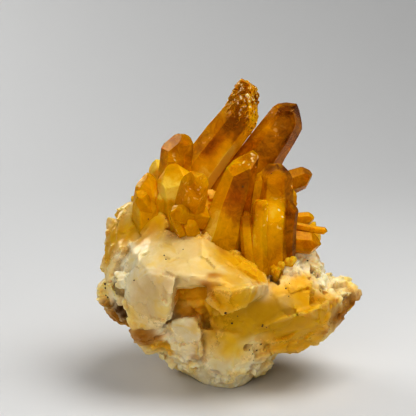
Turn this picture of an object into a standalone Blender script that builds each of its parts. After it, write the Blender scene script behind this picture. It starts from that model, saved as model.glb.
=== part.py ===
"""A cluster of golden healer quartz: pointed golden crystals in a fan, grown together on a matrix of milky
quartz that narrows to a small broken foot. It is one solid.

X runs to the right, Y to the back and Z up. The origin is under the middle, on the plane it rests on.
Positions and sizes are in millimetres in the lists below, and MM turns them into metres."""

import math
import random

import bmesh
import bpy
from mathutils import Matrix, Vector
from mathutils.bvhtree import BVHTree

MM = 0.001
SEED = 41

# Driving sizes, in millimetres unless it says otherwise.
MIDDLE = Vector((-0.32, 0.16, 0.0))        # the middle of the outline, in the lists below
QUARTZ_FACE_SLOPE = 1.27       # how far an end face of quartz falls along the crystal for each unit sideways
FACE_STEEPNESS = (1.0, 1.05, 0.95, 1.0, 1.05, 0.97)    # the six end faces, beside that slope
MINOR_FACE_RISE = 0.16         # the three smaller end faces start this much higher, in crystal widths
OVERSHOOT = 0.3                # how far the sides run past the tip before it is cut, in crystal widths
LUMP_CORNERS = 9
LUMP_SUNK = 0.2                # how much of a lump is sunk in what it grows from, as a share of its size
LUMP_FLOOR = 0.8               # the lowest that a lump reaches
ROOT_SUNK = 0.8                # how deep a small crystal's root goes, in its own lengths
PATCH_FLARE = 0.5              # how far the outermost of a patch lean outward, beside the way it faces
SEARCH = 25.0                  # how far out the search for the surface starts
BACK = Vector((0, 1, 0))
FLAT_ANGLE = math.radians(1.0)             # triangles that meet flatter than this are one face
SAME_POINT = 1e-7                          # in metres


def clear_scene():
    """Take every object out of the scene."""
    for item in list(bpy.data.objects):
        bpy.data.objects.remove(item, do_unlink=True)


# ---------------------------------------------------------------- shaping

def hull_mesh(points):
    """The closed solid that wraps the given points, in millimetres."""
    mesh = bmesh.new()
    for point in points:
        mesh.verts.new(Vector(point) * MM)
    wrapped = bmesh.ops.convex_hull(mesh, input=mesh.verts)
    spare = [item for item in wrapped["geom_interior"] + wrapped["geom_unused"]
             if isinstance(item, bmesh.types.BMVert)]
    bmesh.ops.delete(mesh, geom=list(set(spare)), context="VERTS")
    bmesh.ops.dissolve_limit(mesh, angle_limit=FLAT_ANGLE, verts=mesh.verts, edges=mesh.edges)
    bmesh.ops.recalc_face_normals(mesh, faces=mesh.faces)
    return mesh


def cleave(mesh, point, normal):
    """Cut away what lies beyond a plane, and close the cut with one flat face. The point is in metres."""
    everything = mesh.verts[:] + mesh.edges[:] + mesh.faces[:]
    cut = bmesh.ops.bisect_plane(mesh, geom=everything, plane_co=point, plane_no=normal,
                                 clear_outer=True, dist=SAME_POINT)
    edges = [item for item in cut["geom_cut"] if isinstance(item, bmesh.types.BMEdge)]
    if len(edges) >= 3:
        bmesh.ops.edgeloop_fill(mesh, edges=edges)
    bmesh.ops.recalc_face_normals(mesh, faces=mesh.faces)


def chip(mesh, source, count, depth):
    """Knock small flat faces off the corners of a block, each up to depth millimetres deep."""
    for _ in range(count):
        direction = Vector((source.uniform(-1, 1), source.uniform(-1, 0.6), source.uniform(-0.7, 1)))
        direction.normalize()
        reach = max(vert.co.dot(direction) for vert in mesh.verts)
        cleave(mesh, direction * (reach - source.uniform(0.3, 1.0) * depth * MM), direction)


def crystal_mesh(root, tip, width, top_width, depth=0.85, roll=0.0, lean=(0.0, 0.0),
                 steepness=FACE_STEEPNESS, main_face=None, blunt=0.0):
    """A six-sided quartz crystal from its root to its tip. Its width is from left to right at the root,
    top_width is the same at the tip, depth is its thickness as a share of the width, and lean moves the
    tip off the middle, in half widths to the right and to the front. Six end faces meet at the tip, unless
    main_face gives the turn in degrees of one large face that takes most of the end."""
    root = Vector(root)
    tip = Vector(tip)
    axis = (tip - root).normalized()
    right = axis.cross(BACK).normalized()
    if right.x < 0:
        right.negate()
    front = axis.cross(right)
    if front.y > 0:
        front.negate()
    half = top_width / 2
    head = tip - right * (lean[0] * half) - front * (lean[1] * half * depth)
    axis = (head - root).normalized()

    points = []
    for centre, size in ((root, width), (head + axis * top_width * OVERSHOOT, top_width)):
        for corner in range(6):
            angle = math.radians(60 * corner + roll)
            across = right * math.cos(angle) * size / 2
            toward = front * math.sin(angle) * size / 2 * depth
            points.append(centre + across + toward)
    mesh = hull_mesh(points)

    for face in range(6):
        angle = math.radians(60 * face + 30 + roll)
        outward = (right * math.cos(angle) + front * math.sin(angle) / depth).normalized()
        is_minor = face % 2 == 1 or main_face is not None
        rise = MINOR_FACE_RISE * top_width if is_minor else 0.0
        slope = outward * QUARTZ_FACE_SLOPE * steepness[face]
        cleave(mesh, (tip + axis * rise) * MM, (slope + axis).normalized())
    if main_face is not None:
        angle = math.radians(main_face)
        outward = (right * math.cos(angle) + front * math.sin(angle)).normalized()
        cleave(mesh, tip * MM, (outward * QUARTZ_FACE_SLOPE + axis).normalized())
    if blunt:
        cleave(mesh, (tip - axis * blunt) * MM, axis)
    return mesh


def as_object(name, mesh, collection=None):
    """Turn a bmesh into an object in the scene, or in the named hidden collection of cutters."""
    data = bpy.data.meshes.new(name)
    mesh.to_mesh(data)
    mesh.free()
    item = bpy.data.objects.new(name, data)
    bpy.context.scene.collection.objects.link(item)
    if collection is not None:
        collection.objects.link(item)
        item.hide_render = True
        item.display_type = "WIRE"
    return item


# ---------------------------------------------------------------- the matrix

# Each block of the matrix is the solid that wraps its corners.
BLOCKS = {
    "core_foot": [(1, -16, 0), (5, -13, 0), (8, -5, 0), (11, 4, 0), (12, 12, 0), (8, 20, 0), (-6, 24, 0),
                  (-16, 20, 0), (-19, 8, 0), (-14, -2, 0), (-9, -11, 0), (-4, -15, 0), (0, -20, 4),
                  (12, -10, 5), (17, 4, 6), (-18, -4, 4), (-24, -6, 11), (-27, -11, 20), (-12, -19, 20),
                  (8, -18, 20), (22, -8, 20), (24, 10, 20), (8, 26, 20), (-16, 25, 20), (-29, 9, 20)],
    "core_waist": [(-22, -8, 10), (-12, -16, 11), (10, -15, 12), (20, -6, 12), (22, 10, 12), (8, 22, 12),
                   (-14, 22, 11), (-25, 8, 12), (-40, -6, 32), (-34, -20, 32), (-8, -22, 34), (16, -18, 36),
                   (33, -12, 34), (36, 6, 33), (26, 24, 33), (2, 33, 34), (-24, 29, 34), (-38, 13, 34)],
    "core_top": [(-39, -5, 30), (-33, -20, 32), (-8, -22, 32), (16, -18, 34), (33, -10, 33), (35, 6, 32),
                 (25, 23, 33), (2, 31, 34), (-24, 27, 34), (-37, 12, 34), (-31, -8, 52), (-20, -15, 54),
                 (2, -15, 49), (14, -13, 46), (25, -3, 47), (20, 14, 50), (-2, 22, 54), (-24, 17, 56)],
    "front_slab": [(-38, -14, 45), (-34, -15, 51), (-27, -15, 56), (-21, -16, 57), (-10, -18, 56),
                   (2, -18, 50), (11, -18, 44), (13, -26, 41), (8, -34, 42), (-3, -38, 44), (-9, -37, 44),
                   (-14, -35, 46), (-18, -35, 47), (-28, -33, 48), (-36, -27, 39), (-42, -15, 38),
                   (-30, 0, 40), (4, 0, 42)],
    "beige_block": [(-36, -28, 39), (-28, -34, 47), (-18, -37, 46), (-20, -37, 37), (-21, -34, 31),
                    (-24, -29, 25), (-31, -27, 24), (-34, -26, 24), (-37, -24, 34), (-18, -14, 30),
                    (-30, -10, 36), (-20, -18, 44)],
    "golden_block": [(-8, -37, 43), (8, -33, 42), (-8, -36, 38), (-3, -38, 33), (10, -31, 38), (3, -36, 35),
                     (13, -27, 41), (13, -26, 37), (0, -41, 42), (6, -38, 43), (-5, -39, 42), (2, -12, 34),
                     (-6, -14, 40), (6, -14, 44)],
    "left_knob": [(-46, -8, 34), (-45, -6, 39), (-46, -8, 26), (-41, -12, 23), (-36, -20, 33),
                  (-37, -22, 38), (-41, -15, 38), (-36, -18, 22), (-26, 2, 26), (-32, 8, 38)],
    "left_rim": [(-45, -4, 41), (-43, 0, 51), (-42, 1, 56), (-38, 3, 61), (-33, 4, 64), (-37, -16, 50),
                 (-41, -14, 45), (-42, -15, 39), (-43, -8, 35), (-24, 0, 60), (-22, 10, 40), (-34, 14, 52)],
    "golden_shoulder": [(-36, 0, 63), (-32, -4, 65), (-24, -8, 66), (-21, -15, 58), (-27, -16, 57),
                        (-34, -16, 51), (-38, -14, 49), (-41, -4, 57), (-16, -4, 52), (-20, 8, 56)],
    "rust_ledge": [(-36, -18, 22), (-34, -25, 24), (-24, -27, 25), (-32, -20, 19), (-28, -12, 11),
                   (-24, -8, 9), (-21, -16, 16), (-21, -22, 21), (-12, -8, 26)],
    "low_left_block": [(-20, -25, 28), (-12, -29, 30), (-10, -28, 25), (-10, -25, 16), (-21, -20, 15),
                       (-24, -14, 15), (-14, -12, 4), (-21, -6, 7), (-6, -8, 26)],
    "low_front_block": [(-10, -24, 24), (2, -27, 24), (11, -23, 20), (15, -18, 14), (9, -13, 5),
                        (1, -21, 7), (-10, -20, 9), (2, -6, 24)],
    "trough_side": [(-9, -23, 33), (-5, -23, 18), (15, -26, 24), (27, -26, 30), (28, -20, 39), (24, -12, 45),
                    (18, -19, 43), (11, -27, 37), (0, -28, 34), (4, -4, 26), (22, -2, 30)],
    "right_lobe": [(-5, -22, 18), (12, -27, 26), (18, -29, 30), (27, -29, 32), (34, -20, 33),
                   (35, -16, 21), (31, -10, 14), (25, -9, 13), (18, -12, 12), (11, -16, 12), (20, 2, 22)],
    "white_band": [(11, -14, 45), (18, -12, 47), (28, -4, 46), (32, -2, 43), (36, -4, 36), (35, -16, 32),
                   (27, -22, 30), (24, -20, 37), (16, -18, 38), (20, 6, 40)],
    "right_knob": [(36, -4, 36), (44, -2, 35), (46, -3, 32), (44, -5, 26), (39, -6, 22), (34, -8, 15),
                   (31, -9, 14), (29, -20, 28), (33, -18, 33), (28, 6, 30), (34, 8, 34)],
    "crystal_bed": [(-20, -8, 54), (-8, -11, 55), (6, -13, 52), (17, -8, 52), (18, 6, 58), (8, 12, 64),
                    (-6, 12, 64), (-18, 10, 60), (-12, 0, 66), (6, 0, 67), (14, 0, 64), (0, 0, 48),
                    (-23, -3, 60), (-20, -4, 62)],
    "slab_bed": [(-18, -14, 55), (-11, -14, 54), (-14, -18, 55), (-15, -18, 58.7), (-16, -13, 61),
                 (-12, -13, 61)],
    "back_left_block": [(-40, 6, 30), (-43, 7, 41), (-36, 22, 33), (-31, 25, 47), (-22, 30, 40),
                        (-20, 29, 26), (-32, 18, 20), (-20, 10, 54), (-34, 12, 55)],
    "back_left_low": [(-38, 2, 24), (-33, 18, 22), (-24, 27, 20), (-14, 28, 12), (-26, 14, 8), (-14, 30, 28),
                      (-30, 22, 32), (-10, 6, 20)],
    "back_middle": [(-18, 30, 44), (-15, 36, 38), (-6, 39, 42), (-4, 36, 50), (-13, 28, 52), (-14, 34, 28),
                    (-2, 38, 31), (-4, 14, 54), (0, 14, 30)],
    "back_ledge": [(-4, 38, 34), (3, 41, 37), (9, 37, 33), (12, 30, 22), (2, 31, 17), (-8, 30, 20),
                   (5, 35, 48), (10, 31, 36), (0, 12, 30)],
    "back_hump": [(-2, 34, 48), (6, 37, 50), (14, 32, 46), (16, 34, 38), (8, 36, 34), (2, 12, 54),
                  (14, 10, 52), (8, 10, 30)],
    "back_right_block": [(14, 35, 36), (20, 30, 46), (29, 20, 46), (34, 17, 38), (36, 11, 32), (31, 19, 22),
                         (18, 29, 20), (14, 8, 52), (24, 8, 51)],
    "back_right_low": [(12, 28, 22), (20, 24, 12), (28, 12, 13), (33, 8, 24), (26, 22, 26), (16, 31, 28),
                       (8, 6, 20)],
    "right_flank": [(35, -4, 34), (38, 6, 33), (36, 14, 26), (30, 12, 14), (31, -4, 14), (37, 1, 22),
                    (14, 0, 24), (20, 4, 44)],
}

# The middle of the mass, which every block meets.
HEART = [(-20, -10, 20), (20, -10, 20), (0, 20, 20), (0, 0, 44)]

# How many corners are knocked off each block, and how deep in millimetres.
CHIPS = {"core_foot": (0, 0.0), "core_waist": (8, 2.0), "core_top": (6, 1.6), "front_slab": (5, 1.0),
         "beige_block": (3, 1.0), "golden_block": (3, 0.8), "left_knob": (8, 2.2), "left_rim": (6, 1.2),
         "golden_shoulder": (6, 1.4), "rust_ledge": (4, 1.5), "low_left_block": (5, 1.6),
         "low_front_block": (5, 1.6), "trough_side": (2, 0.8), "crystal_bed": (4, 1.2), "slab_bed": (0, 0.0),
         "right_lobe": (4, 1.2), "white_band": (8, 1.8), "right_knob": (8, 1.2), "back_left_block": (8, 2.4),
         "back_left_low": (8, 2.4), "back_middle": (8, 2.0), "back_ledge": (8, 2.0), "back_hump": (8, 2.0),
         "back_right_block": (8, 2.4), "back_right_low": (8, 2.0), "right_flank": (8, 2.0)}

# Rough patches of small broken lumps: middle, the way they face, spread, number and size.
LUMP_PATCHES = [
    ((-41, -10, 31), (-0.7, -0.7, 0.1), 7.0, 11, 5.0),
    ((39, -8, 31), (0.5, -0.7, 0.5), 8.0, 13, 5.0),
    ((24, -12, 42), (0.3, -0.6, 0.8), 7.0, 9, 4.6),
    ((-40, -2, 50), (-0.9, -0.3, 0.3), 8.0, 8, 5.0),
    ((2, -18, 8), (0.1, -0.9, -0.2), 9.0, 7, 6.0),
    ((-15, -14, 10), (-0.3, -0.9, -0.2), 7.0, 5, 6.0),
    ((-28, 22, 26), (-0.6, 0.8, -0.1), 13.0, 9, 9.0),
    ((10, 30, 26), (0.3, 0.95, -0.1), 14.0, 9, 9.0),
    ((32, 8, 28), (0.95, 0.3, -0.1), 11.0, 7, 8.0),
    ((-36, 6, 26), (-0.95, 0.1, -0.1), 10.0, 7, 8.0),
    ((0, 24, 10), (0.0, 0.95, -0.3), 13.0, 7, 7.0),
    ((0, 36, 42), (0.0, 0.9, 0.4), 15.0, 8, 7.0),
]

# Small holes left in the rough parts: middle, the way they open, and size.
PITS = [((15.5, -20, 42), (0, -0.9, 0.3), 4.6), ((30, -12, 42), (0.2, -0.8, 0.6), 3.4),
        ((33, -16, 36), (0.3, -0.9, 0.3), 3.0), ((-38, -20, 29), (-0.5, -0.9, 0), 5.6),
        ((-42, -12, 31), (-0.7, -0.7, 0), 3.2), ((4, -25, 18), (0, -1, 0), 3.0),
        ((40, -9, 31), (0.3, -0.9, 0.3), 3.0), ((-30, 27, 32), (-0.5, 0.8, 0), 5.0),
        ((16, 33, 34), (0.3, 0.9, 0), 5.4), ((-4, 35, 30), (0, 1, 0), 4.6)]


def matrix_blocks(collection):
    """The milky quartz matrix, as blocks that overlap. Gives back the surface that they make."""
    source = random.Random(SEED)
    together = bmesh.new()
    for name, corners in BLOCKS.items():
        mesh = hull_mesh(corners)
        count, depth = CHIPS[name]
        chip(mesh, source, count, depth)
        block = as_object(name, mesh, collection)
        together.from_mesh(block.data)
    surface = BVHTree.FromBMesh(together)
    together.free()
    return surface


def lump_mesh(source, centre, size):
    """A small broken lump with flat faces."""
    points = []
    for _ in range(LUMP_CORNERS):
        away = Vector((source.gauss(0, 1), source.gauss(0, 1), source.gauss(0, 1))).normalized()
        points.append(centre + away * size / 2 * source.uniform(0.8, 1.1))
    return hull_mesh(points)


def landing(surface, place, facing):
    """The point of the matrix that is met first on the way in, and None where there is none."""
    start = (place + facing * SEARCH) * MM
    point, _, _, _ = surface.ray_cast(start, -facing)
    return None if point is None else point / MM


def patch_places(source, surface, middle, facing, spread, number):
    """Places scattered over a round patch of the surface, with the way each one faces."""
    facing = Vector(facing).normalized()
    side = facing.orthogonal().normalized()
    other = facing.cross(side)
    for _ in range(number):
        turn = source.uniform(0, 2 * math.pi)
        reach = spread * math.sqrt(source.uniform(0, 1))
        offset = side * math.cos(turn) * reach + other * math.sin(turn) * reach
        outward = (facing + offset * PATCH_FLARE / spread).normalized()
        place = landing(surface, Vector(middle) + offset, facing)
        if place is not None:
            yield place, outward


def rough_patches(collection, surface):
    """Broken lumps over the rough parts of the matrix, none of them lower than the foot."""
    source = random.Random(SEED + 1)
    for index, (middle, facing, spread, number, size) in enumerate(LUMP_PATCHES):
        for place, outward in patch_places(source, surface, middle, facing, spread, number):
            big = size * source.uniform(0.7, 1.2)
            lump = lump_mesh(source, place - outward * big * LUMP_SUNK, big)
            cleave(lump, Vector((0, 0, LUMP_FLOOR)) * MM, Vector((0, 0, -1)))
            as_object(f"lump_{index}", lump, collection)


# ---------------------------------------------------------------- the crystals

# Root, tip, width at the root, width at the tip, and how each differs from a plain crystal.
CRYSTALS = {
    "tallest": ((-24, 4, 56), (7, 10, 105), 16.0, 12.8, {"lean": (-0.85, 0.0)}),
    "second": ((-1, 8, 58), (24, 14, 96), 20.0, 11.2, {"steepness": (1, 1, 0.9, 0.9, 1, 1)}),
    "front": ((-5, -14, 43), (9, -7, 83), 19.0, 8.0, {"lean": (0.8, -0.7), "main_face": 130}),
    "column": ((14, -14, 40), (16, -8, 80), 14.6, 11.5, {"blunt": 1.5}),
    "column_front": ((10, -19, 42), (10, -16, 69), 6.4, 5.6, {"blunt": 1.5, "roll": 12}),
    "column_right": ((19, -14, 42), (20, -13, 67), 6.0, 4.6, {"lean": (-0.6, 0.0)}),
    "column_left": ((7, -19, 44), (5, -16, 64), 6.0, 4.4, {}),
    "stub_right": ((9, 0, 66), (30, 6, 72), 11.0, 7.2, {"blunt": 0.8}),
    "stub_low": ((12, -4, 60), (24, 0, 63), 5.0, 3.8, {"blunt": 0.5}),
    "stub_lower": ((12, -4, 56), (30, 0, 58), 5.6, 4.6, {"blunt": 0.6}),
    "needle": ((12, -8, 58), (34, -6, 54), 3.6, 2.6, {}),
    "point_right": ((10, -10, 52), (32, -8, 50), 8.8, 7.6, {}),
    "point_left": ((-20, -3, 60), (-16.5, -4, 89), 12.0, 10.2, {"lean": (0.3, 0.0), "blunt": 0.8}),
    "blunt_front": ((-16, -10, 52), (-11, -22, 79), 11.0, 9.4, {"blunt": 1.6}),
    "chisel_front": ((-10, -12, 60), (-20, -24, 65), 10.0, 6.0, {"main_face": 90}),
    "slab_edge_tall": ((-14, -13, 50), (-19, -22, 64), 5.0, 3.8, {}),
    "slab_edge_short": ((-11, -13, 50), (-14, -21, 62), 6.0, 4.6, {"roll": 20}),
    "small_left": ((-23, -4, 54), (-29, -6, 74), 9.6, 7.4, {"lean": (0.2, 0.0)}),
    "small_left_low": ((-24, -8, 56), (-32, -12, 70), 7.0, 5.4, {"roll": 15}),
    "pale_back": ((-19, 8, 54), (-26, 8, 77), 9.0, 7.0, {}),
    "yellow_body": ((-15, -8, 50), (-20, -9, 78), 17.0, 12.4, {"blunt": 3.0, "lean": (-0.3, 0.0)}),
    "yellow_side": ((-20, -9, 50), (-26, -11, 70), 10.0, 7.4, {"blunt": 1.0, "roll": 18}),
    "column_fill": ((9, -10, 44), (11, -8, 76), 10.0, 8.0, {"roll": 10}),
    "column_behind": ((18, -4, 46), (20, -2, 70), 10.0, 7.0, {"roll": 14}),
    "back_tall": ((-6, 10, 52), (-5, 28, 84), 11.0, 8.6, {"lean": (0.3, 0.2)}),
    "back_left": ((-18, 12, 50), (-24, 30, 68), 10.0, 7.6, {}),
    "back_right": ((10, 12, 50), (18, 33, 70), 10.5, 8.0, {"lean": (-0.3, 0.0)}),
    "back_low": ((2, 18, 48), (6, 38, 58), 8.0, 6.0, {}),
    "back_stub": ((-12, 18, 48), (-12, 37, 60), 7.0, 5.4, {"blunt": 0.8}),
    "back_slim": ((2, 12, 54), (6, 26, 78), 6.0, 4.6, {}),
}

# Patches of small crystals: middle, the way they face, spread, number, length and width.
DRUSE_PATCHES = [
    ((-27, 0, 61), (-0.2, -0.3, 0.95), 5.0, 6, 3.6, 3.4),
    ((16, -17, 46), (0.2, -0.7, 0.7), 6.0, 6, 4.0, 3.0),
    ((0, 26, 50), (0.0, 0.4, 0.9), 14.0, 12, 7.0, 4.4),
    ((-28, 16, 50), (-0.4, 0.4, 0.8), 9.0, 8, 5.0, 3.8),
    ((22, 12, 48), (0.4, 0.3, 0.85), 8.0, 8, 6.0, 3.6),
]


def fan_of_crystals(collection):
    """The large and middle-sized golden crystals."""
    for name, (root, tip, width, top_width, shape) in CRYSTALS.items():
        as_object(name, crystal_mesh(root, tip, width, top_width, **shape), collection)


def druse(collection, surface):
    """Small crystals that stand in patches between the large ones and over the back."""
    source = random.Random(SEED + 2)
    for index, (middle, facing, spread, number, length, width) in enumerate(DRUSE_PATCHES):
        for place, outward in patch_places(source, surface, middle, facing, spread, number):
            tall = length * source.uniform(0.6, 1.25)
            wide = width * source.uniform(0.7, 1.2)
            root = place - outward * length * ROOT_SUNK
            small = crystal_mesh(root, place + outward * tall, wide * 1.1, wide, roll=source.uniform(0, 60))
            as_object(f"druse_{index}", small, collection)


def pits(collection, surface):
    """Cutters for the small holes."""
    source = random.Random(SEED + 3)
    for index, (middle, facing, size) in enumerate(PITS):
        place = landing(surface, Vector(middle), Vector(facing).normalized())
        as_object(f"pit_{index}", lump_mesh(source, place, size), collection)


# ---------------------------------------------------------------- the one solid

def quartz_material():
    """Golden quartz over milky quartz, as one plain finish."""
    material = bpy.data.materials.new("golden_quartz")
    material.use_nodes = True
    shader = material.node_tree.nodes["Principled BSDF"]
    shader.inputs["Base Color"].default_value = (0.55, 0.27, 0.03, 1.0)
    shader.inputs["Roughness"].default_value = 0.25
    shader.inputs["Metallic"].default_value = 0.0
    return material


def boolean(item, name, operation, operands):
    """Join every object of a collection to an object, or cut them out of it."""
    modifier = item.modifiers.new(name, "BOOLEAN")
    modifier.operation = operation
    modifier.operand_type = "COLLECTION"
    modifier.collection = operands
    modifier.solver = "EXACT"


def main():
    """Build the cluster."""
    clear_scene()
    grown_parts = bpy.data.collections.new("grown_parts")
    surface = matrix_blocks(grown_parts)
    rough_patches(grown_parts, surface)
    fan_of_crystals(grown_parts)
    druse(grown_parts, surface)
    holes = bpy.data.collections.new("holes")
    pits(holes, surface)

    cluster = as_object("quartz_cluster", hull_mesh(HEART))
    cluster.data.materials.append(quartz_material())
    for item in bpy.data.objects:
        item.data.transform(Matrix.Translation(-MIDDLE * MM))
    boolean(cluster, "grown_together", "UNION", grown_parts)
    boolean(cluster, "small_holes", "DIFFERENCE", holes)


main()
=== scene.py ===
"""Golden healer quartz: glassy golden points in a fan, grown together on a matrix of milky quartz.

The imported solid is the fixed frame. Two pieces stand for it, the golden crystals and the milky matrix, with
small iron specks on them. The pieces are made in millimetres, in the coordinates of the lists below, and are
moved to the middle and turned to metres when they are finished. X is right, Y is back, Z is up."""

import math
import random
from contextlib import contextmanager

import bpy
import numpy as np
from bpy.props import FloatProperty, FloatVectorProperty, PointerProperty
from mathutils import Matrix, Vector, kdtree, noise


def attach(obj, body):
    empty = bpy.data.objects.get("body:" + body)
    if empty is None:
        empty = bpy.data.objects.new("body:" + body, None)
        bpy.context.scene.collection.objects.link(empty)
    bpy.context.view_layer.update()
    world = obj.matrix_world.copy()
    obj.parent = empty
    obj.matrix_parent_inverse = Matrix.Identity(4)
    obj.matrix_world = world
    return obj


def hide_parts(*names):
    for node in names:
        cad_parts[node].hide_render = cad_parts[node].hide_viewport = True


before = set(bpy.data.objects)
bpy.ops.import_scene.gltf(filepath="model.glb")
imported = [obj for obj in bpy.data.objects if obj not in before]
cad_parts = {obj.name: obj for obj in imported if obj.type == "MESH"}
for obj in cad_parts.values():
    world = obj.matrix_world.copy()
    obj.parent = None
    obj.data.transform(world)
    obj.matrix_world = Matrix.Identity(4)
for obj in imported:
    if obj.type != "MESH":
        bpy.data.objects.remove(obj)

bl_info = {
    "name": "Golden Quartz Cluster",
    "version": (1, 0, 0),
    "blender": (4, 5, 0),
    "location": "View3D > Sidebar > Quartz",
    "description": "A cluster of golden quartz points on a milky matrix, with a plain studio",
    "category": "Add Mesh",
}

MM = 0.001
NODE = "quartz_cluster"
MIDDLE = Vector((-0.32, 0.16, 0.0))        # the middle of the outline, in the lists below
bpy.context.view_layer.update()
BACK = Vector((0, 1, 0))
SEED = 41
FLAT_ANGLE = math.radians(1.0)
SAME_POINT = 1e-4
SEARCH = 25.0                  # how far out the search for a surface begins


# ---------------------------------------------------------------- the matrix, in millimetres

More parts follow.
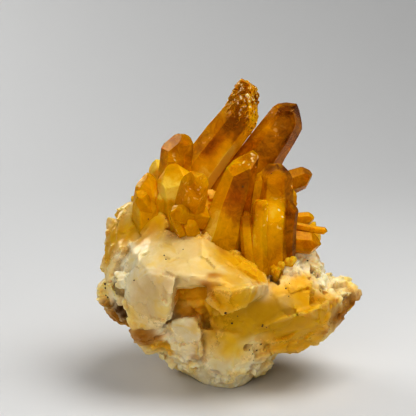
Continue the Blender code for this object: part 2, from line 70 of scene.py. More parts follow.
# Each block of the matrix is the solid that wraps its corners: how many corners are knocked off it, how deep,
# and the corners.
BLOCKS = {
    "core_foot": (0, 0.0, [(1, -16, 0), (5, -13, 0), (8, -5, 0), (11, 4, 0), (12, 12, 0), (8, 20, 0),
        (-6, 24, 0), (-16, 20, 0), (-19, 8, 0), (-14, -2, 0), (-9, -11, 0), (-4, -15, 0), (0, -20, 4),
        (12, -10, 5), (17, 4, 6), (-18, -4, 4), (-24, -6, 11), (-27, -11, 20), (-12, -19, 20), (8, -18, 20),
        (22, -8, 20), (24, 10, 20), (8, 26, 20), (-16, 25, 20), (-29, 9, 20)]),
    "core_waist": (8, 2.0, [(-22, -8, 10), (-12, -16, 11), (10, -15, 12), (20, -6, 12), (22, 10, 12),
        (8, 22, 12), (-14, 22, 11), (-25, 8, 12), (-40, -6, 32), (-34, -20, 32), (-8, -22, 34), (16, -18, 36),
        (33, -12, 34), (36, 6, 33), (26, 24, 33), (2, 33, 34), (-24, 29, 34), (-38, 13, 34)]),
    "core_top": (6, 1.6, [(-39, -5, 30), (-33, -20, 32), (-8, -22, 32), (16, -18, 34), (33, -10, 33),
        (35, 6, 32), (25, 23, 33), (2, 31, 34), (-24, 27, 34), (-37, 12, 34), (-31, -8, 52), (-20, -15, 54),
        (2, -15, 49), (14, -13, 46), (25, -3, 47), (20, 14, 50), (-2, 22, 54), (-24, 17, 56)]),
    "front_slab": (5, 1.0, [(-38, -14, 45), (-34, -15, 51), (-27, -15, 56), (-21, -16, 57), (-10, -18, 56),
        (2, -18, 50), (11, -18, 44), (13, -26, 41), (8, -34, 42), (-3, -38, 44), (-9, -37, 44),
        (-14, -35, 46), (-18, -35, 47), (-28, -33, 48), (-36, -27, 39), (-42, -15, 38), (-30, 0, 40),
        (4, 0, 42)]),
    "beige_block": (3, 1.0, [(-36, -28, 39), (-28, -34, 47), (-18, -37, 46), (-20, -37, 37), (-21, -34, 31),
        (-24, -29, 25), (-31, -27, 24), (-34, -26, 24), (-37, -24, 34), (-18, -14, 30), (-30, -10, 36),
        (-20, -18, 44)]),
    "golden_block": (3, 0.8, [(-8, -37, 43), (8, -33, 42), (-8, -36, 38), (-3, -38, 33), (10, -31, 38),
        (3, -36, 35), (13, -27, 41), (13, -26, 37), (0, -41, 42), (6, -38, 43), (-5, -39, 42), (2, -12, 34),
        (-6, -14, 40), (6, -14, 44)]),
    "left_knob": (8, 2.2, [(-46, -8, 34), (-45, -6, 39), (-46, -8, 26), (-41, -12, 23), (-36, -20, 33),
        (-37, -22, 38), (-41, -15, 38), (-36, -18, 22), (-26, 2, 26), (-32, 8, 38)]),
    "left_rim": (6, 1.2, [(-45, -4, 41), (-43, 0, 51), (-42, 1, 56), (-38, 3, 61), (-33, 4, 64),
        (-37, -16, 50), (-41, -14, 45), (-42, -15, 39), (-43, -8, 35), (-24, 0, 60), (-22, 10, 40),
        (-34, 14, 52)]),
    "golden_shoulder": (6, 1.4, [(-36, 0, 63), (-32, -4, 65), (-24, -8, 66), (-21, -15, 58), (-27, -16, 57),
        (-34, -16, 51), (-38, -14, 49), (-41, -4, 57), (-16, -4, 52), (-20, 8, 56)]),
    "rust_ledge": (4, 1.5, [(-36, -18, 22), (-34, -25, 24), (-24, -27, 25), (-32, -20, 19), (-28, -12, 11),
        (-24, -8, 9), (-21, -16, 16), (-21, -22, 21), (-12, -8, 26)]),
    "low_left_block": (5, 1.6, [(-20, -25, 28), (-12, -29, 30), (-10, -28, 25), (-10, -25, 16),
        (-21, -20, 15), (-24, -14, 15), (-14, -12, 4), (-21, -6, 7), (-6, -8, 26)]),
    "low_front_block": (5, 1.6, [(-10, -24, 24), (2, -27, 24), (11, -23, 20), (15, -18, 14), (9, -13, 5),
        (1, -21, 7), (-10, -20, 9), (2, -6, 24)]),
    "trough_side": (2, 0.8, [(-9, -23, 33), (-5, -23, 18), (15, -26, 24), (27, -26, 30), (28, -20, 39),
        (24, -12, 45), (18, -19, 43), (11, -27, 37), (0, -28, 34), (4, -4, 26), (22, -2, 30)]),
    "right_lobe": (4, 1.2, [(-5, -22, 18), (12, -27, 26), (18, -29, 30), (27, -29, 32), (34, -20, 33),
        (35, -16, 21), (31, -10, 14), (25, -9, 13), (18, -12, 12), (11, -16, 12), (20, 2, 22)]),
    "white_band": (8, 1.8, [(11, -14, 45), (18, -12, 47), (28, -4, 46), (32, -2, 43), (36, -4, 36),
        (35, -16, 32), (27, -22, 30), (24, -20, 37), (16, -18, 38), (20, 6, 40)]),
    "right_knob": (8, 1.2, [(36, -4, 36), (44, -2, 35), (46, -3, 32), (44, -5, 26), (39, -6, 22),
        (34, -8, 15), (31, -9, 14), (29, -20, 28), (33, -18, 33), (28, 6, 30), (34, 8, 34)]),
    "crystal_bed": (4, 1.2, [(-20, -8, 54), (-8, -11, 55), (6, -13, 52), (17, -8, 52), (18, 6, 58),
        (8, 12, 64), (-6, 12, 64), (-18, 10, 60), (-12, 0, 66), (6, 0, 67), (14, 0, 64), (0, 0, 48),
        (-23, -3, 60), (-20, -4, 62)]),
    "slab_bed": (0, 0.0, [(-18, -14, 55), (-11, -14, 54), (-14, -18, 55), (-15, -18, 58.7), (-16, -13, 61),
        (-12, -13, 61)]),
    "back_left_block": (8, 2.4, [(-40, 6, 30), (-43, 7, 41), (-36, 22, 33), (-31, 25, 47), (-22, 30, 40),
        (-20, 29, 26), (-32, 18, 20), (-20, 10, 54), (-34, 12, 55)]),
    "back_left_low": (8, 2.4, [(-38, 2, 24), (-33, 18, 22), (-24, 27, 20), (-14, 28, 12), (-26, 14, 8),
        (-14, 30, 28), (-30, 22, 32), (-10, 6, 20)]),
    "back_middle": (8, 2.0, [(-18, 30, 44), (-15, 36, 38), (-6, 39, 42), (-4, 36, 50), (-13, 28, 52),
        (-14, 34, 28), (-2, 38, 31), (-4, 14, 54), (0, 14, 30)]),
    "back_ledge": (8, 2.0, [(-4, 38, 34), (3, 41, 37), (9, 37, 33), (12, 30, 22), (2, 31, 17), (-8, 30, 20),
        (5, 35, 48), (10, 31, 36), (0, 12, 30)]),
    "back_hump": (8, 2.0, [(-2, 34, 48), (6, 37, 50), (14, 32, 46), (16, 34, 38), (8, 36, 34), (2, 12, 54),
        (14, 10, 52), (8, 10, 30)]),
    "back_right_block": (8, 2.4, [(14, 35, 36), (20, 30, 46), (29, 20, 46), (34, 17, 38), (36, 11, 32),
        (31, 19, 22), (18, 29, 20), (14, 8, 52), (24, 8, 51)]),
    "back_right_low": (8, 2.0, [(12, 28, 22), (20, 24, 12), (28, 12, 13), (33, 8, 24), (26, 22, 26),
        (16, 31, 28), (8, 6, 20)]),
    "right_flank": (8, 2.0, [(35, -4, 34), (38, 6, 33), (36, 14, 26), (30, 12, 14), (31, -4, 14), (37, 1, 22),
        (14, 0, 24), (20, 4, 44)]),
}

# Rough patches of small broken lumps: middle, the way they face, spread, number and size.
LUMP_PATCHES = [
    ((-41, -10, 31), (-0.7, -0.7, 0.1), 7.0, 11, 5.0),
    ((39, -8, 31), (0.5, -0.7, 0.5), 8.0, 13, 5.0),
    ((24, -12, 42), (0.3, -0.6, 0.8), 7.0, 9, 4.6),
    ((-40, -2, 50), (-0.9, -0.3, 0.3), 8.0, 8, 5.0),
    ((2, -18, 8), (0.1, -0.9, -0.2), 9.0, 7, 6.0),
    ((-15, -14, 10), (-0.3, -0.9, -0.2), 7.0, 5, 6.0),
    ((-28, 22, 26), (-0.6, 0.8, -0.1), 13.0, 9, 9.0),
    ((10, 30, 26), (0.3, 0.95, -0.1), 14.0, 9, 9.0),
    ((32, 8, 28), (0.95, 0.3, -0.1), 11.0, 7, 8.0),
    ((-36, 6, 26), (-0.95, 0.1, -0.1), 10.0, 7, 8.0),
    ((0, 24, 10), (0.0, 0.95, -0.3), 13.0, 7, 7.0),
    ((0, 36, 42), (0.0, 0.9, 0.4), 15.0, 8, 7.0),
]
LUMP_CORNERS = 9
LUMP_SUNK = 0.2                # how deep a lump sits, as a share of its size
LUMP_FLOOR = 0.8               # no lump reaches lower than this
PATCH_FLARE = 0.5              # how far what stands in a patch leans outward at its rim

# Small holes left in the rough parts: middle, the way they open, and size.
PITS = [((15.5, -20, 42), (0, -0.9, 0.3), 4.6), ((30, -12, 42), (0.2, -0.8, 0.6), 3.4),
        ((33, -16, 36), (0.3, -0.9, 0.3), 3.0), ((-38, -20, 29), (-0.5, -0.9, 0), 5.6),
        ((-42, -12, 31), (-0.7, -0.7, 0), 3.2), ((6, -25, 17), (0, -1, 0), 2.6),
        ((40, -9, 31), (0.3, -0.9, 0.3), 3.0), ((-30, 27, 32), (-0.5, 0.8, 0), 5.0),
        ((16, 33, 34), (0.3, 0.9, 0), 5.4), ((-4, 35, 30), (0, 1, 0), 4.6)]
PIT_EDGES = (1.5, 0.5)         # size and depth of the ragged bits in their walls

# Where the quartz broke clean or grew smooth, so that it has little relief: middle and radius.
SMOOTH_PLACES = [(-5, -28, 50, 16), (-28, -26, 50, 12), (-27, -33, 37, 11), (3, -34, 42, 6),
    (10, -27, 33, 13), (24, -24, 26, 15), (-30, -10, 60, 11), (-14, -32, 50, 12), (-41, -8, 50, 9),
    (-15, -26, 24, 8), (2, -25, 18, 8), (-4, -20, 9, 7)]
SMOOTH_EDGES = (5.0, 1.5, 1)   # how their edges wander: size, reach and seed
SMOOTHED = 0.95                # the share of the relief that such a place loses
VOXEL = 0.6
BROAD_FACETS = (6.0, 0.22, 0.3)    # size of the broken facets, how far they tilt, and how far they step
SMALL_FACETS = (2.4, 0.14, 0.1)
FACETS_WHERE_SMOOTH = 0.14     # the share of the broad facets that a smooth place keeps
GRAIN = (1.2, 0.07)            # size and height of the sugary grain, and of the broad swells
SWELLS = (9.0, 0.35)
FOOT_CLEAR = 0.3               # the relief starts this high above the foot, and grows over this height
FOOT_FADE = 3.0
MATRIX_EDGE = math.radians(32)     # an edge sharper than this stays crisp

# What colours the matrix: round places by kind of quartz, each with its middle and radius. The golden quartz
# in the shade of a hollow is painted shade.
ZONES = {
    # The two small white places at (-35, -28, 39) and (-29, -32, 46) are painted highlights on ridges.
    "white": [(-35, -19, 47, 7), (-31, -21, 51, 6), (-35, -28, 39, 3), (-29, -32, 46, 3), (-41, -15, 32, 3),
        (-19, -25, 26, 5), (-14, -25, 22, 5), (-15, -23, 16, 5), (-3, -21, 7, 8), (-14, -16, 6, 6),
        (5, -18, 8, 6), (19, -18, 45, 4), (24, -10, 45, 5), (31, -8, 40, 5), (32, -5, 41, 4)],
    "cream": [(-27, -19, 54, 4), (-24, -25, 52, 6), (-19, -21, 55, 5), (-14, -23, 53, 6), (-9, -22, 53, 5),
        (-22, -36, 36, 4), (-31, -29, 27, 4), (-43, -12, 35, 3), (-28, -14, 13, 4), (-5, -23, 16, 4),
        (7, -24, 18, 4), (11, -21, 16, 4), (5, -36, 43, 3), (17, -21, 41, 3), (40, -8, 34, 5),
        (-41, -14, 44, 3), (-44, -8, 39, 4), (-36, -5, 61, 4)],
    "beige": [(-27, -34, 41, 6), (-22, -36, 43, 4), (-27, -32, 33, 5), (10, -31, 38, 2.5), (13, -27, 39, 3),
        (19, -26, 34, 3)],
    "lemon": [(0, -24, 17, 5), (4, -37, 38, 4), (30, -25, 32, 3), (-29, -12, 62, 7)],
    "gold": [(0, -24, 49, 4), (3, -25, 47, 4), (7, -25, 45, 4), (10, -25, 43, 3), (-24, -17, 16, 4),
        (3, -37, 38, 6), (-3, -39, 37, 5), (-12, -20, 37, 5), (-15, -21, 34, 5), (-10, -23, 29, 5),
        (26, -24, 30, 6), (32, -18, 27, 5), (24, -21, 39, 5), (17, -24, 36, 4), (24, -21, 22, 8),
        (17, -20, 19, 6), (25, -14, 15, 5), (14, -19, 17, 5), (30, -22, 26, 6), (-40, -10, 52, 5),
        (-43, -9, 46, 5), (-39, -7, 56, 4), (-29, -15, 56, 5), (-24, -14, 62, 5), (-34, -10, 57, 5),
        (-22, -13, 65, 6), (-9, -18, 56, 4), (8, -14, 52, 6), (0, 0, 62, 16)],
    "gold_in_painted_shade": [(-5, -23, 52, 4), (-9, -23, 20, 5), (2, -26, 26, 6), (10, -27, 30, 5), (-2, -24, 31, 5),
        (16, -27, 28, 6), (22, -26, 27, 6)],
    "amber": [(-6, -36, 42, 2.5), (36, -8, 33, 2), (39, -8, 31, 2), (-29, -14, 57, 4), (-2, -19, 54, 4)],
    "rust": [(-43, -8, 25, 4), (-40, -10, 25, 5), (-37, -11, 23, 3), (-30, -23, 22, 5), (-11, -22, 13, 2),
        (43, -6, 28, 4), (40, -8, 25, 4), (35, -16, 21, 3)],
    "brown": [(-39, -17, 29, 3), (14, -19, 42, 2)],
}
ZONE_EDGES = (4.0, 1.3, 30)    # how their edges wander: size, reach and seed
PLAIN_SHARE = 0.05             # how much the plain cream still shows between them, and behind
PLAIN_BEHIND = 0.3
BACK_FADE = 10.0               # the front turns into the back over this depth
# What else the back is made of, in soft patches: size, seed, how strong, how common, and the most there is.
BACK_PATCHES = {"gold": (15.0, 8, 1.6, 0.3, 1), "white": (11.0, 9, 1.8, 0, 1), "rust": (7.0, 10, 4, -2.2, 2)}
EDGE_ROUNDS = 10               # how many rounds of smoothing show what stands out, and how many even it out
EVEN_ROUNDS = 3
EDGE_HEIGHT = 0.2              # a point that stands out this far is on a ridge, or sinks so far in a crease
# Ridges are made paler with a painted highlight, and creases darker with painted shade.
RIDGE_PAINTED_HIGHLIGHT = 0.35              # how much paler a ridge is, and how much darker a crease
CREASE_PAINTED_SHADE = 0.2


# ---------------------------------------------------------------- the crystals, in millimetres

# How the body of a crystal is coloured, from 0, pale straw, to 1, red-brown: in general, and how much painted
# light and shade change that toward its left, right and front sides, as the light falls on them, and down at
# its root.
PLAIN_TONE = (0.5, 0, 0, 0, -0.15)
SMALL_TONE = (0.2, 0, 0, 0, 0)
# The six end faces fall at this slope for each unit sideways, but not quite alike.
END_SLOPE = 1.27
STEEPNESS = (1.0, 1.05, 0.95, 1.0, 1.05, 0.97)
MINOR_FACE_RISE = 0.16         # three of them start this much higher, as a share of the width
OVERSHOOT = 0.3                # how far the sides run past the tip before it is cut, as a share of the width

# Root, tip, width at the root, width at the tip, and how each differs from a plain crystal.
CRYSTALS = {
    "tallest": ((-24, 4, 56), (7, 10, 105), 16, 12.8,
        {"tone": (0.66, 0, -0.5, 0.25, -0.3), "lean": (-0.85, 0)}),
    "second": ((-1, 8, 58), (24, 14, 96), 20, 11.2,
        {"tone": (0.88, -0.15, 0, 0, -0.3), "steepness": (1, 1, 0.9, 0.9, 1, 1)}),
    "front": ((-5, -14, 43), (9, -7, 83), 19, 8,
        {"tone": (0.6, -0.3, 0.1, 0.1, -0.25), "lean": (0.8, -0.7), "main_face": 130}),
    "column": ((14, -14, 40), (16, -8, 80), 14.6, 11.5, {"tone": (0.6, 0, 0.15, 0, -0.1), "blunt": 1.5}),
    "column_front": ((10, -19, 42), (10, -16, 69), 6.4, 5.6,
        {"tone": (0.55, 0, 0.1, 0, -0.1), "blunt": 1.5, "roll": 12}),
    "column_right": ((19, -14, 42), (20, -13, 67), 6, 4.6, {"tone": (0.75, 0, 0.1, 0, 0), "lean": (-0.6, 0)}),
    "column_left": ((7, -19, 44), (5, -16, 64), 6, 4.4, {"tone": (0.6, 0, 0, 0, -0.1)}),
    "stub_right": ((9, 0, 66), (30, 6, 72), 11, 7.2, {"tone": (0.75, 0, 0, 0, 0), "blunt": 0.8}),
    "stub_low": ((12, -4, 60), (24, 0, 63), 5, 3.8, {"blunt": 0.5}),
    "stub_lower": ((12, -4, 56), (30, 0, 58), 5.6, 4.6, {"blunt": 0.6}),
    "needle": ((12, -8, 58), (34, -6, 54), 3.6, 2.6, {"tone": (0.55, 0, 0, 0, 0)}),
    "point_right": ((10, -10, 52), (32, -8, 50), 8.8, 7.6, {"tone": (0.62, 0, 0, 0, 0)}),
    "point_left": ((-20, -3, 60), (-16.5, -4, 89), 12, 10.2,
        {"tone": (0.68, 0, 0, 0, -0.3), "lean": (0.3, 0), "blunt": 0.8}),
    "blunt_front": ((-16, -10, 52), (-11, -22, 79), 11, 9.4, {"tone": (0.52, 0, 0, 0, -0.1), "blunt": 1.6}),
    "chisel_front": ((-10, -12, 60), (-20, -24, 65), 10, 6, {"tone": (0.5, 0, 0, 0, 0), "main_face": 90}),
    "slab_edge_tall": ((-14, -13, 50), (-19, -22, 64), 5, 3.8, {"tone": (0.5, 0, 0, 0, 0)}),
    "slab_edge_short": ((-11, -13, 50), (-14, -21, 62), 6, 4.6, {"tone": (0.45, 0, 0, 0, 0), "roll": 20}),
    "small_left": ((-26.5, -8, 50), (-28.5, -8, 75.5), 17, 5,
        {"tone": (0.5, -0.1, 0, 0, -0.1), "lean": (0.3, 0)}),
    "small_left_low": ((-24, -8, 56), (-32, -12, 70), 7, 5.4, {"tone": (0.55, 0, 0, 0, 0), "roll": 15}),
    "pale_back": ((-19, 8, 54), (-26, 8, 77), 9, 7, {"tone": (0.08, 0, 0, 0, 0)}),
    "yellow_body": ((-15, -8, 50), (-20, -8, 78), 17, 12.4, {"tone": (0.35, 0, 0, 0, -0.1), "main_face": 90}),
    "yellow_side": ((-19, -8, 50), (-24, -9, 70), 10, 7.4,
        {"tone": (0.38, 0, 0, 0, -0.1), "blunt": 1, "roll": 18}),
    "column_fill": ((9, -10, 44), (11, -8, 76), 10, 8, {"roll": 10}),
    "column_behind": ((18, -4, 46), (20, -2, 70), 10, 7, {"roll": 14}),
    "back_tall": ((-6, 10, 52), (-5, 28, 84), 11, 8.6, {"lean": (0.3, 0.2)}),
    "back_left": ((-18, 12, 50), (-24, 30, 68), 10, 7.6, {}),
    "back_right": ((10, 12, 50), (18, 33, 70), 10.5, 8, {"lean": (-0.3, 0)}),
    "back_low": ((2, 18, 48), (6, 38, 58), 8, 6, {}),
    "back_stub": ((-12, 18, 48), (-12, 37, 60), 7, 5.4, {"blunt": 0.8}),
    "back_slim": ((2, 12, 54), (6, 26, 78), 6, 4.6, {}),
}
THICKNESS = 0.85               # from front to back, as a share of the width
BEVEL = 0.22
BEVELLED = math.radians(35)    # the edges sharper than this are bevelled
BEND = 4.5                     # the sides of a large crystal bend a little at each such step
SIDE_SWELLS = (10.0, 0.3, 50)  # the size and reach of that bending, and its seed
CRYSTAL_EDGE = math.radians(12)    # an edge sharper than this stays crisp

# Where the tallest one is etched, and where it is worn blunt: a point of the plane, and the way out.
ETCHED_END = ((-1.5, 8, 91.0), (0.75, 0.0, 0.66))
BLUNT_END = ((7.0, 10.0, 103.4), (0.5, 0.0, 0.866))
BLUNTNESS = 0.85               # how much of what lies beyond is worn away
ETCHED_FACETS = ((1.6, 0.16, 0.12), (0.8, 0.14, 0.05))
ETCHED_DEPTH = 5.0             # how far beyond its plane the etching has its full strength
# Where that end is fuller: middle, radius and by how much.
FULLER = [((3, 10, 102), 5, 0.9), ((9.5, 10, 100), 5, 1.5)]
SKIN_VOXEL = 0.3
SKIN_SWELLS = (4.0, 0.25)      # size and height of its broad swells
SKIN_LIFT = 0.32               # how far the skin stands off where it is etched, and sinks where it isn't
SKIN_SINK = 0.2

# Patches of small crystals: middle, the way they face, spread, number, length and width.
DRUSE_PATCHES = [
    ((-27, 0, 61), (-0.2, -0.3, 0.95), 5.0, 6, 3.6, 3.4),
    ((16, -17, 46), (0.1, -0.4, 0.9), 5.0, 6, 5.0, 2.4),
    ((0, 26, 50), (0.0, 0.4, 0.9), 14.0, 12, 7.0, 4.4),
    ((-28, 16, 50), (-0.4, 0.4, 0.8), 9.0, 8, 5.0, 3.8),
    ((22, 12, 48), (0.4, 0.3, 0.85), 8.0, 8, 6.0, 3.6),
]
ROOT_SUNK = 0.8                # how deep a small crystal is rooted, as a share of its length
ROOT_WIDER = 1.1               # its width at the root, for each unit at the tip

# Where the crystals are paler, below 0, or darker: middle, radius and by how much. These are partly the
# crystals' own tone and partly painted glow, where light comes through, and painted shade.
TONE_AND_PAINTED_LIGHT_PLACES = [(-6, 1, 74, 10, -0.5), (-1, 2, 80, 7, -0.5), (-11, -2, 71, 8, -0.4), (1, 3, 90, 5, 0.3),
    (-5, 2, 82, 5, 0.25), (5, 5, 100, 10, 0.15), (10, 8, 98, 6, 0.35), (13, 6, 89, 5, -0.18),
    (8, 4, 76, 6, -0.2), (10, 5, 80, 6, 0.1), (24, 8, 84, 5, 0.1), (20, 9, 95, 5, 0.5), (25, 12, 93, 4, 0.4),
    (14, -10, 78, 4, 0.3), (20, -8, 77, 4, 0.3), (21, 8, 84, 6, 0.1), (3, -15, 74, 8, 0.2),
    (2, -16, 65, 8, 0.2), (6, -10, 81, 5, 0.35), (14, -15, 62, 6, -0.4), (19, -15, 62, 3, 0.3),
    (12, -19, 55, 8, -0.25), (6, -19, 55, 5, -0.25), (-20, -14, 71, 7, -0.3), (-24, -4, 76, 4, -0.3),
    (-24, -12, 69, 4, -0.35), (-31, -12, 63, 5, -0.2), (-18, -8, 86, 5, 0.15), (-12, -23, 74, 5, 0.15),
    (-3, -17, 60, 8, -0.2), (25, 1, 71, 6, -0.05)]
# Where they are frosted or full of fine cracks, with painted glints: middle, radius and how much.
FROST_PLACES = [(5, 6, 100, 11, 0.9), (-21, -8, 80, 4, 0.9), (14, -15, 62, 7, 1.0), (16, 7, 87, 5, 0.25),
    (13, -14, 74, 3, 0.4), (21, -10, 70, 2, 1.0), (6, -10, 81, 5, 0.8), (-9, 3, 86, 4, 0.5),
    (-4, 4, 94, 4, 0.7), (-12, -23, 72, 8, 0.4), (-16, -19, 57, 5, 0.4)]

# Where grains of iron sit: middle, the way they face, number and spread.
SPECKS = [((14, -14, 76), (0, -1, 0.1), 1, 0.1), ((4, -14, 72), (0, -1, 0.1), 1, 0.3),
    ((-16, -20, 51), (0, -1, 0.3), 1, 0.1), ((-28, -13, 60), (-0.2, -1, 0.2), 1, 0.1),
    ((-21, -27, 50), (0, -1, 0.4), 2, 0.6), ((-32, -29, 43), (-0.2, -1, 0.2), 1, 0.2),
    ((8, -24, 18), (0, -1, 0), 5, 1.3), ((28, -12, 46), (0.2, -1, 0.6), 1, 0.2),
    ((-42, -14, 34), (-0.5, -0.8, 0.2), 5, 1.6), ((-2, -24, 33), (0, -1, 0), 2, 1.0),
    ((2, -25, 28), (0, -1, 0), 2, 1.5), ((12, -24, 26), (0, -1, 0), 3, 2.0),
    ((20, -25, 38), (0.1, -1, 0.3), 3, 1.6), ((-30, -9, 66), (-0.2, -1, 0.4), 1, 0.3),
    ((-22, -17, 61), (0, -1, 0.2), 1, 0.3), ((30, 18, 38), (0.8, 0.6, 0), 5, 4.0),
    ((-34, 16, 40), (-0.8, 0.6, 0), 6, 5.0), ((4, 36, 40), (0, 1, 0), 6, 6.0)]


# ---------------------------------------------------------------- the studio

# Each light: place in metres, size, and the setting that holds its power.
LIGHTS = {"key_light": ((0.16, -0.06, 0.48), 0.35, "key_power"),
          "back_light": ((-0.42, 0.45, 0.4), 0.35, "back_power"),
          "fill_light": ((-0.14, -0.76, 0.3), 0.6, "fill_power")}
LIT_POINT = Vector((0, 0, 0.05))
AIR_IN_FRONT = 0.1             # how strong the light of the room is from in front and from behind
AIR_BEHIND = 0.22
PAPER_SIZE = 3.0               # the paper on the floor, and how far behind the cluster and how high it rises
PAPER_BACK = 0.75
PAPER_HEIGHT = 2.0
PAPER_CURVE = 0.45
LOOK_AT = Vector((-7.5, 0, 61.0))      # in the millimetres of the lists above
SENSOR = 36.0                  # how wide the camera's sensor is, in millimetres


# ---------------------------------------------------------------- small tools

def linear(code):
    """A colour written in sRGB hex, as the linear values that Blender works in."""
    channels = [int(code[place:place + 2], 16) / 255 for place in (1, 3, 5)]
    return tuple(c / 12.92 if c <= 0.04045 else ((c + 0.055) / 1.055) ** 2.4 for c in channels) + (1.0,)


def alone(item):
    """Make an object the only one selected, and the active one."""
    bpy.ops.object.select_all(action="DESELECT")
    item.select_set(True)
    bpy.context.view_layer.objects.active = item


@contextmanager
def editing(item):
    """Edit an object's mesh with all of it selected."""
    alone(item)
    bpy.ops.object.mode_set(mode="EDIT")
    bpy.ops.mesh.select_all(action="SELECT")
    yield
    bpy.ops.object.mode_set(mode="OBJECT")


def finish_with(item, kind, **settings):
    """Give an object a modifier and apply it."""
    alone(item)
    modifier = item.modifiers.new(kind.lower(), kind)
    for name, value in settings.items():
        setattr(modifier, name, value)
    bpy.ops.object.modifier_apply(modifier=modifier.name)


def combine(first, others):
    """Join the other objects to the first in one solid, and remove them."""
    group = bpy.data.collections.new("operands")
    for item in others:
        group.objects.link(item)
    finish_with(first, "BOOLEAN", operation="UNION", operand_type="COLLECTION", collection=group,
                solver="EXACT")
    for item in others:
        bpy.data.objects.remove(item)
    bpy.data.collections.remove(group)


def copy_of(item):
    """A copy of an object with its own mesh."""
    copy = item.copy()
    copy.data = item.data.copy()
    bpy.context.scene.collection.objects.link(copy)
    return copy


def join(items):
    """Put objects together in the first one, without fusing them."""
    alone(items[0])
    for item in items:
        item.select_set(True)
    bpy.ops.object.join()
    return items[0]


def points_of(item):
    """The places of a mesh's points, as an array."""
    places = np.empty(len(item.data.vertices) * 3)
    item.data.vertices.foreach_get("co", places)
    return places.reshape(-1, 3)


def normals_of(item):
    """The ways that a mesh's points face, as an array."""
    normals = np.empty(len(item.data.vertices) * 3)
    item.data.vertex_normals.foreach_get("vector", normals)
    return normals.reshape(-1, 3)


def put_points(item, places):
    """Move a mesh's points to the given places."""
    item.data.vertices.foreach_set("co", places.ravel())
    item.data.update()


def settle(item, name, material):
    """Bring a finished piece to the middle and to metres, give it its finish, and dress the body with it."""
    item.name = name
    item.data.name = name
    item.data.materials.clear()
    item.data.materials.append(material)
    item.data.transform(Matrix.Scale(MM, 4) @ Matrix.Translation(-MIDDLE))
    item.data.update()
    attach(item, "root")


def add(tree, kind, inputs=None, stops=(), **settings):
    """Add a shader node with its settings and its colour stops. An input that is a node, whose first output
    counts, or a socket is linked, and any other is a value."""
    item = tree.nodes.new("ShaderNode" + kind)
    for name, value in settings.items():
        setattr(item, name, value)
    for name, value in (inputs or {}).items():
        if isinstance(value, bpy.types.Node):
            value = value.outputs[0]
        if isinstance(value, bpy.types.NodeSocket):
            tree.links.new(value, item.inputs[name])
        else:
            item.inputs[name].default_value = value
    for number, (position, colour) in enumerate(stops):
        ramp = item.color_ramp.elements
        stop = ramp[number] if number < 2 else ramp.new(position)
        stop.position = position
        stop.color = colour
    return item


def new_material(name):
    """A material with no nodes yet, and its node tree."""
    material = bpy.data.materials.new(name)
    material.use_nodes = True
    tree = material.node_tree
    tree.nodes.clear()
    return material, tree


# ---------------------------------------------------------------- shaping

def cleave(item, point, normal):
    """Cut away what lies beyond a plane, and close the cut with one flat face."""
    with editing(item):
        bpy.ops.mesh.bisect(plane_co=point, plane_no=normal, use_fill=True, clear_outer=True,
                            threshold=SAME_POINT)


def wrapped(name, corners):
    """The solid that wraps the given corners."""
    data = bpy.data.meshes.new(name)
    data.from_pydata([tuple(corner) for corner in corners], [], [])
    item = bpy.data.objects.new(name, data)
    bpy.context.scene.collection.objects.link(item)
    with editing(item):
        bpy.ops.mesh.convex_hull(join_triangles=False)
        bpy.ops.mesh.dissolve_limited(angle_limit=FLAT_ANGLE)
        bpy.ops.mesh.normals_make_consistent(inside=False)
    return item


def chip(item, source, count, depth):
    """Knock small flat faces off the corners of a block, each up to that depth."""
    for _ in range(count):
        direction = Vector((source.uniform(-1, 1), source.uniform(-1, 0.6), source.uniform(-0.7, 1)))
        direction.normalize()
        reach = max(vert.co.dot(direction) for vert in item.data.vertices)
        cleave(item, direction * (reach - source.uniform(0.3, 1.0) * depth), direction)


def lump(source, centre, size):
    """A small broken lump with flat faces."""
    points = []
    for _ in range(LUMP_CORNERS):
        away = Vector((source.gauss(0, 1), source.gauss(0, 1), source.gauss(0, 1))).normalized()
        points.append(centre + away * size / 2 * source.uniform(0.8, 1.1))
    return wrapped("lump", points)


def landing(surface, place, facing, search=SEARCH):
    """The point of a surface that is met first on the way in, and None where there is none."""
    hit, point, _, _ = surface.ray_cast(place + facing * search, -facing)
    return point if hit else None


def speck(source, first, place):
    """A copy of the first grain of iron, with its own size and turn, half sunk where it sits."""
    grain = copy_of(first)
    radius = source.uniform(0.22, 0.42)
    size = Matrix.Diagonal((radius, 0.7 * radius, source.uniform(0.6, 1.3) * radius, 1.0))
    turn = Matrix.Rotation(-source.uniform(0, 3), 4, "Y")
    grain.data.transform(Matrix.Translation(place) @ turn @ size)
    return grain


def patch_places(source, surface, middle, facing, spread, number):
    """Places scattered over a round patch of the surface, with the way each one faces."""
    facing = Vector(facing).normalized()
    side = facing.orthogonal().normalized()
    other = facing.cross(side)
    for _ in range(number):
        turn = source.uniform(0, 2 * math.pi)
        reach = spread * math.sqrt(source.uniform(0, 1))
        offset = side * math.cos(turn) * reach + other * math.sin(turn) * reach
        outward = (facing + offset * PATCH_FLARE / spread).normalized()
        place = landing(surface, Vector(middle) + offset, facing)
        if place is not None:
            yield place, outward


def broken_relief(places, cell, tilt, step, seed):
    """The height of a surface that broke in flat facets of about one cell, each with its own slope."""
    source = np.random.default_rng(seed)
    low = places.min(axis=0) - cell
    counts = np.ceil((places.max(axis=0) + cell - low) / cell).astype(int)
    grid = np.stack(np.meshgrid(*[np.arange(count) for count in counts], indexing="ij"), axis=-1)
    middles = low + (grid.reshape(-1, 3) + source.uniform(0, 1, (counts.prod(), 3))) * cell
    slopes = source.normal(0, tilt, middles.shape)
    rises = source.uniform(-step, step, len(middles))
    tree = kdtree.KDTree(len(middles))
    for number, middle in enumerate(middles):
        tree.insert(middle, number)
    tree.balance()
    nearest = np.array([tree.find(place)[1] for place in places])
    return ((places - middles[nearest]) * slopes[nearest]).sum(axis=1) + rises[nearest]


